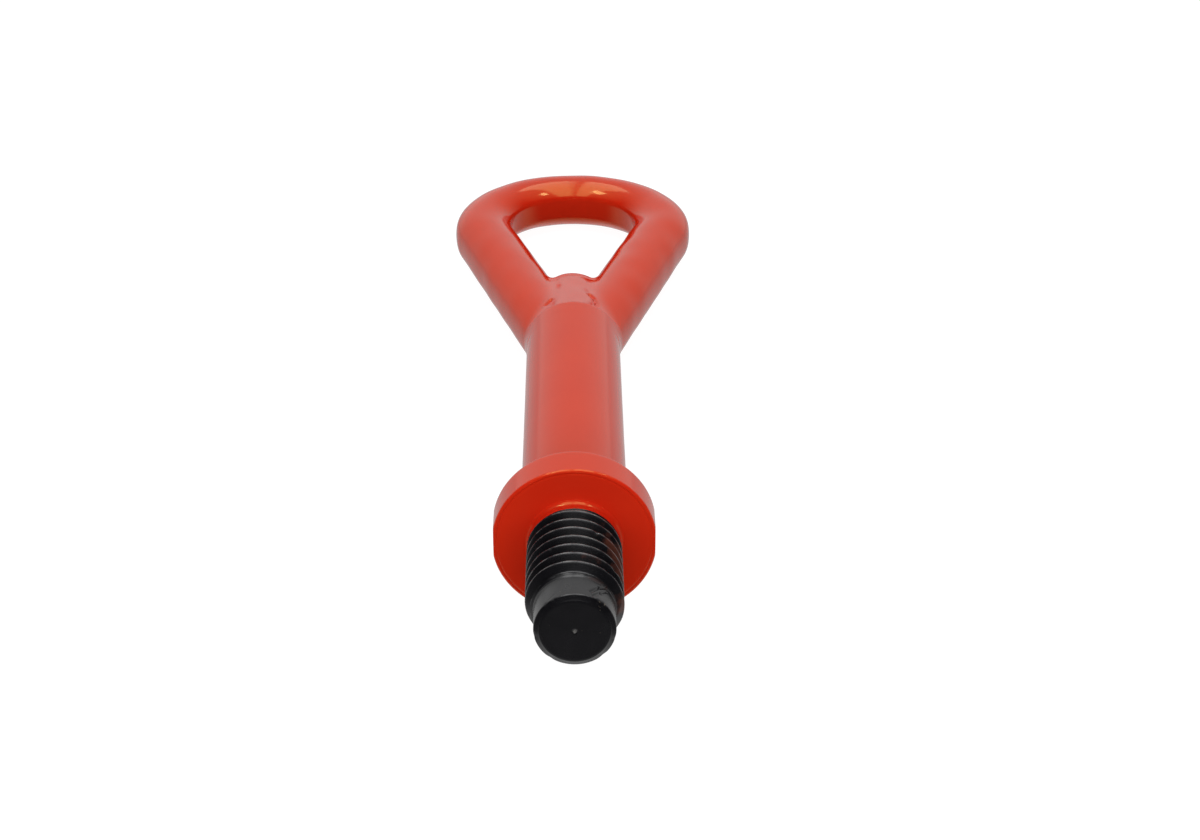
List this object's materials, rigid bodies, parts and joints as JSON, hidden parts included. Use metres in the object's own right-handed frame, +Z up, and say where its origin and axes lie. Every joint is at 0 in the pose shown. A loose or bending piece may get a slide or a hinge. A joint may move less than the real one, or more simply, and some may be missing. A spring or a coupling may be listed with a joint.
{
  "type": "screw-in towing eye",
  "caption": "Forged towing eye: an open oval eye on a round shank, a stop collar and a left-hand threaded stud that screws into a socket.",
  "frame": {"origin": "centre of the flat end of the stud's pilot", "axes": "+Y along the axis from the stud to the eye; the eye lies flat in the XY plane, with +Z up"},
  "size_m": [0.0586, 0.2101, 0.0312],
  "materials": {
    "red_paint": "gloss signal-red paint over forged steel",
    "black_coating": "satin black coating on steel, worn to grey and brown on the thread crests"
  },
  "bodies": {
    "root": {"eye": "red_paint", "shank": "red_paint", "stop_collar": "red_paint", "threaded_stud": "black_coating"}
  },
  "joints": []
}
